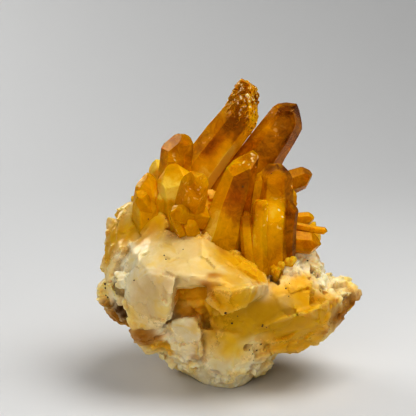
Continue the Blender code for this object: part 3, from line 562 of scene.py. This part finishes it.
def soft_noise(places, size, seed):
    """Smooth noise from about -1 to 1, with swells of about the given size."""
    shift = Vector((seed * 17.3, seed * 5.1, seed * 9.7))
    return np.array([noise.noise(Vector(place) / size + shift) for place in places]) * 2


def wandering(places, size, reach, seed):
    """The places, each moved by a smooth noise, so that what is drawn round them gets natural edges."""
    moves = [soft_noise(places, size, seed + number) * reach for number in range(3)]
    return places + np.stack(moves, axis=1)


def nearness(places, middle, radius):
    """1 at the middle of a round place, falling softly away."""
    away = np.linalg.norm(places - np.array(middle), axis=1) / radius
    return np.exp(-away ** 2)


def coverage(places, rounds):
    """How far each point is covered by any of the round places."""
    bare = np.ones(len(places))
    for *middle, radius in rounds:
        bare *= 1 - nearness(places, middle, radius)
    return 1 - bare


def sharpness(item):
    """How much each point stands out from those round it, in millimetres: above 0 on a ridge and below 0 in
    a crease."""
    places = points_of(item)
    ends = np.empty(len(item.data.edges) * 2, dtype=int)
    item.data.edges.foreach_get("vertices", ends)
    pairs = ends.reshape(-1, 2)
    here, there = np.concatenate([pairs, pairs[:, ::-1]]).T
    count = np.bincount(here)[:, None]

    def average(values):
        """The mean of what each point's neighbours have."""
        return np.stack([np.bincount(here, column[there]) for column in values.T], axis=1) / count

    smooth = places
    for _ in range(EDGE_ROUNDS):
        smooth = average(smooth)
    height = ((places - smooth) * normals_of(item)).sum(axis=1)[:, None]
    for _ in range(EVEN_ROUNDS):
        height = average(height)
    return height[:, 0]


# ---------------------------------------------------------------- the crystals

def crystal(frames, root, tip, width, top_width, tone=PLAIN_TONE, roll=0.0, lean=(0.0, 0.0),
            steepness=STEEPNESS, main_face=None, blunt=0.0, large=True):
    """A six-sided quartz crystal from its root to its tip, with its width from left to right at each. Roll
    turns it, in degrees, and lean moves the tip off the middle, in half widths to the right and to the
    front. Six end faces meet at the tip, unless main_face gives the turn in degrees of one large face that
    takes most of the end, and blunt cuts that much off the tip. A large one gets bevelled edges, and sides
    that bend a little. Its number goes on its faces, and frames gets its tone, its root, its own directions
    and its length."""
    root = Vector(root)
    tip = Vector(tip)
    axis = (tip - root).normalized()
    right = axis.cross(BACK).normalized()
    if right.x < 0:
        right.negate()
    front = axis.cross(right)
    if front.y > 0:
        front.negate()
    half = top_width / 2
    head = tip - right * (lean[0] * half) - front * (lean[1] * half * THICKNESS)
    axis = (head - root).normalized()
    far = head + axis * top_width * OVERSHOOT
    length = (far - root).length

    bpy.ops.mesh.primitive_cone_add(vertices=6, radius1=width / 2, radius2=top_width / 2, depth=length,
                                    location=(0, 0, length / 2), rotation=(0, 0, -math.radians(30 + roll)))
    item = bpy.context.object
    bpy.ops.object.transform_apply(location=True, rotation=True, scale=True)
    place = Matrix((right, -front * THICKNESS, axis)).transposed().to_4x4()
    item.data.transform(Matrix.Translation(root) @ place)

    for face in range(6):
        angle = math.radians(60 * face + 30 + roll)
        outward = (right * math.cos(angle) + front * math.sin(angle) / THICKNESS).normalized()
        is_minor = face % 2 == 1 or main_face is not None
        rise = MINOR_FACE_RISE * top_width if is_minor else 0.0
        slope = outward * END_SLOPE * steepness[face]
        cleave(item, tip + axis * rise, (slope + axis).normalized())
    if main_face is not None:
        angle = math.radians(main_face)
        outward = (right * math.cos(angle) + front * math.sin(angle)).normalized()
        cleave(item, tip, (outward * END_SLOPE + axis).normalized())
    if blunt:
        cleave(item, tip - axis * blunt, axis)
    with editing(item):
        bpy.ops.mesh.normals_make_consistent(inside=False)
    if large:
        finish_with(item, "BEVEL", width=BEVEL, segments=2, limit_method="ANGLE", angle_limit=BEVELLED)
        for cut in range(1, round(length / BEND)):
            with editing(item):
                bpy.ops.mesh.bisect(plane_co=root + axis * cut * BEND, plane_no=axis)
        put_points(item, wandering(points_of(item), *SIDE_SWELLS))
    owner = item.data.attributes.new("crystal", "INT", "FACE")
    owner.data.foreach_set("value", [len(frames)] * len(item.data.polygons))
    frames.append((tone, root, axis, right, front, length))
    return item


def mark_growth(item, frames):
    """Give each face corner the tone of its side of the crystal it is part of, with painted light and shade
    by side, how far along it is, and the place along and across the side in millimetres, which the growth
    lines follow."""
    data = item.data
    while data.uv_layers:
        data.uv_layers.remove(data.uv_layers[0])
    data.uv_layers.new(name="sides")
    data.color_attributes.new("growth", "FLOAT_COLOR", "CORNER")
    sides = data.uv_layers["sides"].data
    growth = data.color_attributes["growth"].data
    owner = data.attributes["crystal"].data
    for face in data.polygons:
        tone, root, axis, right, front, length = frames[owner[face.index].value]
        base, left_painted_shading, right_painted_shading, front_painted_shading, at_root = tone
        sideways = axis.cross(face.normal)
        toward_right = face.normal.dot(right)
        toward_front = max(0.0, face.normal.dot(front))
        # Each side is made paler or darker by painted light and shade, as the light falls on it.
        shade = base + left_painted_shading * max(0.0, -toward_right) + right_painted_shading * max(0.0, toward_right)
        shade += front_painted_shading * toward_front ** 4
        for corner in face.loop_indices:
            place = data.vertices[data.loops[corner].vertex_index].co - root
            along = place.dot(axis)
            sides[corner].uv = (place.dot(sideways), along)
            share = min(1.0, max(0.0, along / length))
            growth[corner].color = (shade + at_root * (1 - share) ** 2, share, 0.0, 1.0)


def etched_skin(item):
    """A rough, sugary skin over the end of the tallest crystal."""
    point = np.array(ETCHED_END[0])
    normal = np.array(Vector(ETCHED_END[1]).normalized())
    skin = copy_of(item)
    cleave(skin, point, -normal)
    finish_with(skin, "REMESH", mode="VOXEL", voxel_size=SKIN_VOXEL, adaptivity=0.0)
    places = points_of(skin)
    amount = np.clip(((places - point) @ normal) / ETCHED_DEPTH, 0, 1)
    height = soft_noise(places, SKIN_SWELLS[0], 3) * SKIN_SWELLS[1]
    for number, facets in enumerate(ETCHED_FACETS):
        height += broken_relief(places, *facets, SEED + 10 + number)
    height = (height + SKIN_LIFT) * amount - SKIN_SINK * (1 - amount)
    for middle, radius, more in FULLER:
        height += more * nearness(places, middle, radius)
    moved = places + normals_of(skin) * height[:, None]
    over = np.maximum((moved - np.array(BLUNT_END[0])) @ np.array(BLUNT_END[1]), 0)
    put_points(skin, moved - BLUNTNESS * over[:, None] * np.array(BLUNT_END[1]))
    with editing(skin):
        bpy.ops.mesh.normals_make_consistent(inside=False)
    return skin


def small_crystals(frames, surface):
    """Small crystals that stand in patches between the large ones and over the back."""
    source = random.Random(SEED + 2)
    pieces = []
    for middle, facing, spread, number, length, width in DRUSE_PATCHES:
        for place, outward in patch_places(source, surface, middle, facing, spread, number):
            tall = length * source.uniform(0.6, 1.25)
            wide = width * source.uniform(0.7, 1.2)
            root = place - outward * length * ROOT_SUNK
            pieces.append(crystal(frames, root, place + outward * tall, wide * ROOT_WIDER, wide, SMALL_TONE,
                                  roll=source.uniform(0, 60), large=False))
    return pieces


# ---------------------------------------------------------------- the matrix

def matrix_blocks():
    """The blocks of the matrix in one object, overlapping."""
    source = random.Random(SEED)
    blocks = []
    for name, (count, depth, corners) in BLOCKS.items():
        block = wrapped(name, corners)
        chip(block, source, count, depth)
        blocks.append(block)
    return join(blocks)


def rough_lumps(surface):
    """Broken lumps over the rough parts of the matrix, none of them lower than the foot."""
    source = random.Random(SEED + 1)
    lumps = []
    for middle, facing, spread, number, size in LUMP_PATCHES:
        for place, outward in patch_places(source, surface, middle, facing, spread, number):
            big = size * source.uniform(0.7, 1.2)
            piece = lump(source, place - outward * big * LUMP_SUNK, big)
            cleave(piece, Vector((0, 0, LUMP_FLOOR)), Vector((0, 0, -1)))
            lumps.append(piece)
    return lumps


def dig_pits(item, surface):
    """Hollow out the small holes, each a rough bowl that opens the way it faces."""
    places = points_of(item)
    ragged = soft_noise(places, PIT_EDGES[0], 12) * PIT_EDGES[1]
    for middle, facing, size in PITS:
        facing = Vector(facing).normalized()
        centre = np.array(landing(surface, Vector(middle), facing))
        inward = -np.array(facing)
        radius = size / 2 * (1 + ragged)
        offset = places - centre
        deep = offset @ inward
        aside = np.linalg.norm(offset - deep[:, None] * inward, axis=1)
        bowl = np.sqrt(np.maximum(radius ** 2 - aside ** 2, 0))
        push = np.where((aside < radius) & (np.abs(deep) < radius), np.maximum(bowl - deep, 0), 0)
        places += push[:, None] * inward
    put_points(item, places)


def weather(item):
    """Give the matrix its relief of broken facets and sugary grain, with less of it where it is smooth and
    none at the foot, and return how much there is at each point."""
    finish_with(item, "REMESH", mode="VOXEL", voxel_size=VOXEL, adaptivity=0.0)
    finish_with(item, "SMOOTH", factor=0.5, iterations=1)
    places = points_of(item)
    relief = 1 - SMOOTHED * coverage(wandering(places, *SMOOTH_EDGES), SMOOTH_PLACES)
    broad = broken_relief(places, *BROAD_FACETS, SEED + 20)
    height = broad * (FACETS_WHERE_SMOOTH + (1 - FACETS_WHERE_SMOOTH) * relief)
    height += broken_relief(places, *SMALL_FACETS, SEED + 21) * relief
    height += soft_noise(places, GRAIN[0], 5) * GRAIN[1] * relief
    height += soft_noise(places, SWELLS[0], 6) * SWELLS[1] * (1 - 0.5 * relief)
    height *= np.clip((places[:, 2] - FOOT_CLEAR) / FOOT_FADE, 0, 1)
    moved = places + normals_of(item) * height[:, None]
    moved[:, 2] = np.maximum(moved[:, 2], 0.0)
    put_points(item, moved)
    return relief


def paint(item, relief, settings):
    """Give each point the colour of the quartz there, with painted shade in hollows and creases and a painted
    highlight on ridges, and how rough it broke.
    """
    places = points_of(item)
    near = wandering(places, *ZONE_EDGES)
    behind = np.clip(places[:, 1] / BACK_FADE, 0, 1)
    shares = {kind: np.zeros(len(places)) for kind in ZONES}
    shares["cream"] += PLAIN_SHARE + PLAIN_BEHIND * behind
    for kind, rounds in ZONES.items():
        for *middle, radius in rounds:
            shares[kind] += nearness(near, middle, radius * 1.1) ** 1.5
    for kind, (size, seed, strength, common, most) in BACK_PATCHES.items():
        shares[kind] += behind * np.clip(soft_noise(near, size, seed) * strength + common, 0, most)
    values = np.ones((len(places), 4))
    values[:, :3] = sum(np.outer(share, getattr(settings, kind)[:3]) for kind, share in shares.items())
    values[:, :3] /= sum(shares.values())[:, None]
    # A painted highlight on the ridges and painted shade in the creases.
    edge = sharpness(item) / EDGE_HEIGHT
    pale = RIDGE_PAINTED_HIGHLIGHT * np.clip(edge - 0.5, 0, 1)[:, None] * (0.35 + values[:, 2:3])
    values[:, :3] += (np.array(settings.white)[:3] - values[:, :3]) * pale
    values[:, :3] *= 1 - CREASE_PAINTED_SHADE * np.clip(-edge - 0.5, 0, 1)[:, None]
    values[:, 3] = relief
    layer = item.data.color_attributes.new("quartz", "FLOAT_COLOR", "POINT")
    layer.data.foreach_set("color", values.ravel())


# ---------------------------------------------------------------- the finishes

def soft_places(tree, place, rounds):
    """The sum of soft round places, each with its own strength, at the given place."""
    total = 0.0
    for *middle, radius, strength in rounds:
        away = add(tree, "VectorMath", {0: place, 1: (Vector(middle) - MIDDLE) * MM}, operation="DISTANCE")
        share = add(tree, "MapRange", {"Value": away.outputs["Value"], "From Max": radius * 1.2 * MM,
                                       "To Min": strength, "To Max": 0.0}, interpolation_type="SMOOTHERSTEP")
        total = add(tree, "Math", {0: share, 1: total}, operation="ADD")
    return total


def golden_quartz(settings):
    """Golden healer quartz, clear quartz with iron in its outer layers. The faces grew and were never cut,
    so they are glossy with fine lines across them. The eye gets a deep honey glow, with painted light and
    shade that makes some sides and spots paler or darker, and pale painted glints where fine cracks would
    catch the light."""
    material, tree = new_material("golden_quartz")
    tone = add(tree, "SeparateColor", {0: add(tree, "Attribute", attribute_name="growth")})
    place = add(tree, "TexCoord").outputs["Object"]
    # Swirls of 6 mm move the patterns, so that no cloud or crack is round.
    stir = add(tree, "TexNoise", {"Vector": place, "Scale": 1 / (6 * MM), "Detail": 2.0}).outputs["Color"]
    stir = add(tree, "VectorMath", {0: stir, 1: (0.5,) * 3}, operation="SUBTRACT")
    stirred = add(tree, "VectorMath", {0: stir, 1: (7 * MM,) * 3, 2: place}, operation="MULTIPLY_ADD")
    clouds = add(tree, "TexNoise", {"Vector": place, "Scale": 1 / (7 * MM), "Detail": 3.0, "Roughness": 0.6})
    wisps = add(tree, "TexNoise", {"Vector": stirred, "Scale": 1 / (2.4 * MM), "Detail": 5.0,
                                   "Roughness": 0.65, "Distortion": 1.0})
    shade = add(tree, "Math", {0: clouds, 1: 0.4, 2: -0.45}, operation="MULTIPLY_ADD")
    shade = add(tree, "Math", {0: shade, 1: tone}, operation="ADD")
    shade = add(tree, "Math", {0: wisps, 1: 0.5, 2: shade}, operation="MULTIPLY_ADD")
    # The listed places add painted glow and shade, besides the crystals' own tone.
    shade = add(tree, "Math", {0: shade, 1: soft_places(tree, stirred, TONE_AND_PAINTED_LIGHT_PLACES)}, operation="ADD",
                use_clamp=True)
    body = add(tree, "ValToRGB", {0: shade}, stops=[
        (0.0, linear("#FFD868")), (0.25, linear("#FFC008")), (0.5, linear("#FABE00")),
        (0.75, linear("#D49400")), (1.0, linear("#985C00"))])

    # Frosted places are less clear, and their pale dots are painted glints, where fine cracks would catch the
    # light.
    frost = soft_places(tree, stirred, FROST_PLACES)
    cracks = add(tree, "TexVoronoi", {"Vector": stirred, "Scale": 1 / (1.9 * MM)})
    glints = add(tree, "MapRange", {"Value": cracks, "From Min": 0.2, "From Max": 0.36, "To Min": 1.0,
                                    "To Max": 0.0})
    glints = add(tree, "Math", {0: glints, 1: frost}, operation="MULTIPLY", use_clamp=True)
    body = add(tree, "Mix", {0: glints, 6: body, 7: linear("#FFF0C8")}, data_type="RGBA").outputs[2]
    clear = add(tree, "Math", {0: frost, 1: -0.75, 2: 1.0}, operation="MULTIPLY_ADD")
    unbroken = add(tree, "Math", {0: glints, 1: -0.9, 2: 1.0}, operation="MULTIPLY_ADD")
    cloudy = add(tree, "MapRange", {"Value": shade, "To Min": 0.15, "To Max": settings.clarity * 1.15})
    for share in (unbroken, cloudy):
        clear = add(tree, "Math", {0: clear, 1: share}, operation="MULTIPLY", use_clamp=True)

    sides = add(tree, "UVMap", uv_map="sides")
    lines = add(tree, "TexWave", {"Vector": sides, "Scale": 0.35, "Distortion": 2.0, "Detail": 2.0},
                bands_direction="Y").outputs["Fac"]
    bump = add(tree, "Bump", {"Height": lines, "Strength": 0.2, "Distance": 0.05 * MM})
    bump = add(tree, "Bump", {"Height": wisps, "Strength": 0.4, "Distance": 0.3 * MM, "Normal": bump})
    gloss = settings.face_roughness - 0.06
    for pattern, weight in ((wisps, 0.12), (frost, 0.15)):
        gloss = add(tree, "Math", {0: pattern, 1: weight, 2: gloss}, operation="MULTIPLY_ADD")
    shader = add(tree, "BsdfPrincipled", {
        "Base Color": body, "Roughness": gloss, "IOR": 1.544, "Specular IOR Level": 0.12,
        "Specular Tint": linear("#FFC050"), "Transmission Weight": clear, "Subsurface Weight": 1.0,
        "Subsurface Radius": (1.6 * MM, 1.3 * MM, 0.4 * MM), "Subsurface Scale": 1.0, "Normal": bump})
    iron = add(tree, "VolumeAbsorption", {"Color": settings.body_colour, "Density": settings.body_density})
    add(tree, "OutputMaterial", {"Surface": shader, "Volume": iron})
    return material


def milky_quartz(settings):
    """Milky quartz, broken by hand tools and by frost. The eye gets a waxy, cloudy cream that lets light
    in, sugary where it is granular, golden or rusty where iron has got into it."""
    material, tree = new_material("milky_quartz")
    quartz = add(tree, "Attribute", attribute_name="quartz")
    broken = quartz.outputs["Alpha"]
    red, _, blue = add(tree, "SeparateColor", {0: quartz}).outputs
    place = add(tree, "TexCoord").outputs["Object"]
    swirl, grain, veils, stains, sugar = [
        add(tree, "TexNoise", {"Vector": place, "Scale": 1 / (size * MM), "Detail": detail,
                               "Roughness": roughness, "Distortion": distortion})
        for size, detail, roughness, distortion in (
            (5, 5, 0.6, 0.8), (1.2, 4, 0.65, 0), (3.5, 4, 0.62, 1.2), (8, 4, 0.6, 0.6), (0.7, 4, 0.5, 0))]

    # Lemon stains show where the quartz is bright, and white veils where it is pale.
    pale = add(tree, "Math", {0: blue, 1: 1.2, 2: 0.2}, operation="MULTIPLY_ADD")
    colour = quartz
    for pattern, low, high, most, where, other in ((stains, 0.5, 0.64, 0.36, red, settings.lemon),
                                                   (veils, 0.52, 0.7, 0.22, pale, settings.white)):
        share = add(tree, "MapRange", {"Value": pattern, "From Min": low, "From Max": high, "To Max": most})
        share = add(tree, "Math", {0: share, 1: where}, operation="MULTIPLY")
        colour = add(tree, "Mix", {0: share, 6: colour, 7: other}, data_type="RGBA").outputs[2]
    # Cloudy swirls and a fine grain darken it.
    depth = add(tree, "MapRange", {"Value": swirl, "From Min": 0.3, "From Max": 0.7})
    depth = add(tree, "Mix", {0: depth, 6: (0.92, 0.88, 0.74, 1.0), 7: (1.0,) * 4},
                data_type="RGBA").outputs[2]
    speckled = add(tree, "Math", {0: grain, 1: 0.5}, operation="SUBTRACT")
    speckled = add(tree, "Math", {0: speckled, 1: broken}, operation="MULTIPLY")
    speckled = add(tree, "Math", {0: speckled, 1: 0.45, 2: 1.0}, operation="MULTIPLY_ADD")
    for factor in (depth, speckled):
        colour = add(tree, "Mix", {0: 1.0, 6: colour, 7: factor}, data_type="RGBA",
                     blend_type="MULTIPLY").outputs[2]

    strength = add(tree, "Math", {0: broken, 1: 0.5, 2: 0.04}, operation="MULTIPLY_ADD")
    bump = add(tree, "Bump", {"Height": sugar, "Strength": strength, "Distance": 0.12 * MM})
    gloss = 0.1
    for pattern, weight in ((broken, 0.25), (grain, 0.15)):
        gloss = add(tree, "Math", {0: pattern, 1: weight, 2: gloss}, operation="MULTIPLY_ADD")
    clear = add(tree, "Math", {0: broken, 1: -0.17, 2: 0.22}, operation="MULTIPLY_ADD")
    shader = add(tree, "BsdfPrincipled", {
        "Base Color": colour, "Roughness": gloss, "IOR": 1.544, "Specular IOR Level": 0.28,
        "Specular Tint": linear("#FFCE78"), "Transmission Weight": clear, "Subsurface Weight": 1.0,
        "Subsurface Radius": (1.4 * MM, 1.3 * MM, 0.9 * MM), "Subsurface Scale": 1.0, "Normal": bump})
    add(tree, "OutputMaterial", {"Surface": shader})
    return material


def iron_speck():
    """Goethite, a dull brown-black iron mineral that sits on the quartz in grains. The eye gets dark dots."""
    material, tree = new_material("goethite")
    place = add(tree, "TexCoord").outputs["Object"]
    mottle = add(tree, "TexNoise", {"Vector": place, "Scale": 1 / (0.4 * MM)})
    colour = add(tree, "ValToRGB", {0: mottle}, stops=[(0.35, linear("#20130A")), (0.7, linear("#54341A"))])
    shader = add(tree, "BsdfPrincipled", {"Base Color": colour, "Roughness": 0.6})
    add(tree, "OutputMaterial", {"Surface": shader})
    return material


def plain_paper(colour):
    """Matt background paper, unprinted. The eye gets an even pale grey with no shine."""
    material, tree = new_material("background_paper")
    shader = add(tree, "BsdfPrincipled", {"Base Color": colour, "Roughness": 0.9})
    add(tree, "OutputMaterial", {"Surface": shader})
    return material


def studio_air():
    """The light that the room gives from all round, brighter from behind than from the front."""
    world = bpy.data.worlds.new("studio_air")
    world.use_nodes = True
    tree = world.node_tree
    tree.nodes.clear()
    way = add(tree, "SeparateXYZ", {0: add(tree, "TexCoord").outputs["Generated"]}).outputs["Y"]
    strength = add(tree, "MapRange", {"Value": way, "From Min": -0.6, "From Max": 0.6,
                                      "To Min": AIR_IN_FRONT, "To Max": AIR_BEHIND})
    air = add(tree, "Background", {"Color": linear("#E6E6E8"), "Strength": strength})
    add(tree, "OutputWorld", {"Surface": air})
    return world


# ---------------------------------------------------------------- what can be changed

def colour_setting(name, description, code):
    """A colour that can be changed."""
    return FloatVectorProperty(name=name, description=description, default=linear(code), subtype="COLOR",
                               size=4, min=0.0, max=1.0)


def share_setting(name, description, default):
    """A share from 0 to 1 that can be changed."""
    return FloatProperty(name=name, description=description, default=default, subtype="FACTOR",
                         min=0.0, max=1.0)


def power_setting(name, description, default):
    """The power of a light, which can be changed."""
    return FloatProperty(name=name, description=description, default=default, unit="POWER", min=0.0)


class CrystalSettings(bpy.types.PropertyGroup):
    """The golden crystals."""
    clarity: share_setting("Clarity", "How much light goes through the crystals", 0.7)
    face_roughness: share_setting("Face roughness", "How rough the grown faces are", 0.18)
    body_colour: colour_setting("Body colour", "What is left of white light inside", "#ECB42C")
    body_density: FloatProperty(name="Body density", description="How fast the light is taken up, per metre",
                                default=100.0, min=0.0)


class MatrixSettings(bpy.types.PropertyGroup):
    """The milky matrix."""
    white: colour_setting("White", "Sugary white quartz", "#FFF0D4")
    cream: colour_setting("Cream", "Milky quartz with a little iron", "#F8E0A6")
    beige: colour_setting("Beige", "Cloudy quartz of a pinkish cream", "#F0D8AC")
    lemon: colour_setting("Lemon", "Bright yellow quartz", "#FCD010")
    gold: colour_setting("Gold", "Golden quartz", "#EEB800")
    gold_in_painted_shade: colour_setting("Olive", "Golden quartz in the shade of a hollow", "#D8AC00")
    amber: colour_setting("Amber", "Deep golden quartz", "#C88404")
    rust: colour_setting("Rust", "Iron rust in the cracks", "#AC7004")
    brown: colour_setting("Brown", "The dark iron of the pits", "#62380A")


class StageSettings(bpy.types.PropertyGroup):
    """The studio round the cluster."""
    distance: FloatProperty(name="Camera distance", description="From the lens to the cluster", default=0.62,
                            min=0.2, unit="LENGTH")
    height_angle: FloatProperty(name="Camera height", description="How far the camera looks down",
                                default=math.radians(13), subtype="ANGLE")
    lens: FloatProperty(name="Lens", description="Focal length, in millimetres on a 36 mm sensor",
                        default=153.3, min=10.0)
    paper: colour_setting("Paper", "Colour of the background paper", "#D4D4D3")
    key_power: power_setting("Key light", "Power of the soft light above", 1.6)
    back_power: power_setting("Back light", "Power of the soft light behind, on the left", 1.4)
    fill_power: power_setting("Fill light", "Power of the soft light in front", 1.9)


# ---------------------------------------------------------------- the pieces

class QUARTZ_OT_crystals(bpy.types.Operator):
    """Make the golden crystals"""
    bl_idname = "quartz.crystals"
    bl_label = "Golden crystals"

    def execute(self, context):
        ground = matrix_blocks()
        frames = []
        points = {name: crystal(frames, root, tip, width, top_width, **shape)
                  for name, (root, tip, width, top_width, shape) in CRYSTALS.items()}
        small = small_crystals(frames, ground)
        bpy.data.objects.remove(ground)
        tallest = points.pop("tallest")
        combine(tallest, [etched_skin(tallest)] + list(points.values()) + small)
        mark_growth(tallest, frames)
        alone(tallest)
        bpy.ops.object.shade_smooth_by_angle(angle=CRYSTAL_EDGE)
        settle(tallest, "golden_crystals", golden_quartz(context.scene.quartz_crystals))
        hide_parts(NODE)
        return {"FINISHED"}


class QUARTZ_OT_matrix(bpy.types.Operator):
    """Make the milky matrix"""
    bl_idname = "quartz.matrix"
    bl_label = "Milky matrix"

    def execute(self, context):
        matrix = matrix_blocks()
        bare = copy_of(matrix)
        matrix = join([matrix] + rough_lumps(matrix))
        relief = weather(matrix)
        dig_pits(matrix, bare)
        bpy.data.objects.remove(bare)
        paint(matrix, relief, context.scene.quartz_matrix)
        alone(matrix)
        bpy.ops.object.shade_smooth_by_angle(angle=MATRIX_EDGE)
        settle(matrix, "milky_matrix", milky_quartz(context.scene.quartz_matrix))
        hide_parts(NODE)
        return {"FINISHED"}


class QUARTZ_OT_specks(bpy.types.Operator):
    """Make the iron specks"""
    bl_idname = "quartz.specks"
    bl_label = "Iron specks"

    def execute(self, context):
        source = random.Random(SEED + 8)
        bpy.ops.mesh.primitive_ico_sphere_add(subdivisions=1, radius=1.0, location=(0, 0, 0))
        first = bpy.context.object
        specks = []
        for middle, facing, number, spread in SPECKS:
            facing = Vector(facing).normalized()
            for _ in range(number):
                aside = Vector([source.gauss(0, spread) for _ in range(3)])
                start = (Vector(middle) + aside - MIDDLE) * MM
                found = [landing(bpy.data.objects[name], start, facing, SEARCH * MM)
                         for name in ("golden_crystals", "milky_matrix")]
                found = [place for place in found if place is not None]
                if found:
                    place = max(found, key=facing.dot)
                    specks.append(speck(source, first, place / MM + MIDDLE))
        bpy.data.objects.remove(first)
        settle(join(specks), "iron_specks", iron_speck())
        return {"FINISHED"}


class QUARTZ_OT_stage(bpy.types.Operator):
    """Make the paper, the lights and the camera"""
    bl_idname = "quartz.stage"
    bl_label = "Studio"

    def execute(self, context):
        settings = context.scene.quartz_stage
        bpy.ops.mesh.primitive_plane_add(size=PAPER_SIZE, location=(0, 0, 0))
        floor = bpy.context.object
        with editing(floor):
            bpy.ops.mesh.select_all(action="DESELECT")
            bpy.ops.mesh.select_mode(type="EDGE")
        for edge in floor.data.edges:
            edge.select = all(floor.data.vertices[number].co.y > 0 for number in edge.vertices)
        alone(floor)
        bpy.ops.object.mode_set(mode="EDIT")
        bpy.ops.mesh.extrude_region_move(TRANSFORM_OT_translate={"value": (0, 0, PAPER_HEIGHT)})
        bpy.ops.object.mode_set(mode="OBJECT")
        floor.data.transform(Matrix.Translation((0, PAPER_BACK - PAPER_SIZE / 2, 0)))
        finish_with(floor, "BEVEL", width=PAPER_CURVE, segments=24, limit_method="ANGLE", angle_limit=1.0)
        alone(floor)
        bpy.ops.object.shade_smooth()
        floor.name = "paper_sweep"
        floor.data.materials.append(plain_paper(settings.paper))

        for name, (place, size, power) in LIGHTS.items():
            turn = (LIT_POINT - Vector(place)).to_track_quat("-Z", "Y").to_euler()
            bpy.ops.object.light_add(type="AREA", location=place, rotation=turn)
            light = bpy.context.object
            light.name = name
            light.data.size = size
            light.data.energy = getattr(settings, power)
        context.scene.world = studio_air()
        context.scene.view_settings.view_transform = "Standard"
        context.scene.view_settings.look = "High Contrast"

        angle = settings.height_angle
        away = Vector((0, -math.cos(angle), math.sin(angle))) * settings.distance
        bpy.ops.object.camera_add(location=(LOOK_AT - MIDDLE) * MM + away,
                                  rotation=(math.pi / 2 - angle, 0, 0))
        camera = bpy.context.object
        camera.data.lens = settings.lens
        camera.data.sensor_width = SENSOR
        context.scene.camera = camera
        return {"FINISHED"}


class QUARTZ_PT_panel(bpy.types.Panel):
    """Lists what makes the cluster."""
    bl_label = "Golden quartz"
    bl_idname = "QUARTZ_PT_panel"
    bl_space_type = "VIEW_3D"
    bl_region_type = "UI"
    bl_category = "Quartz"

    def draw(self, context):
        for group in (context.scene.quartz_crystals, context.scene.quartz_matrix, context.scene.quartz_stage):
            for name in type(group).__annotations__:
                self.layout.prop(group, name)
        for operator in OPERATORS:
            self.layout.operator(operator.bl_idname)


OPERATORS = (QUARTZ_OT_crystals, QUARTZ_OT_matrix, QUARTZ_OT_specks, QUARTZ_OT_stage)
CLASSES = (CrystalSettings, MatrixSettings, StageSettings) + OPERATORS + (QUARTZ_PT_panel,)


def register():
    """Make the classes and the settings known to Blender."""
    for item in CLASSES:
        bpy.utils.register_class(item)
    bpy.types.Scene.quartz_crystals = PointerProperty(type=CrystalSettings)
    bpy.types.Scene.quartz_matrix = PointerProperty(type=MatrixSettings)
    bpy.types.Scene.quartz_stage = PointerProperty(type=StageSettings)


def unregister():
    """Take them away again."""
    del bpy.types.Scene.quartz_stage
    del bpy.types.Scene.quartz_matrix
    del bpy.types.Scene.quartz_crystals
    for item in reversed(CLASSES):
        bpy.utils.unregister_class(item)


def main():
    """Make everything."""
    register()
    for make in (bpy.ops.quartz.crystals, bpy.ops.quartz.matrix, bpy.ops.quartz.specks, bpy.ops.quartz.stage):
        make()
    bpy.context.view_layer.update()


if __name__ == "__main__":
    main()
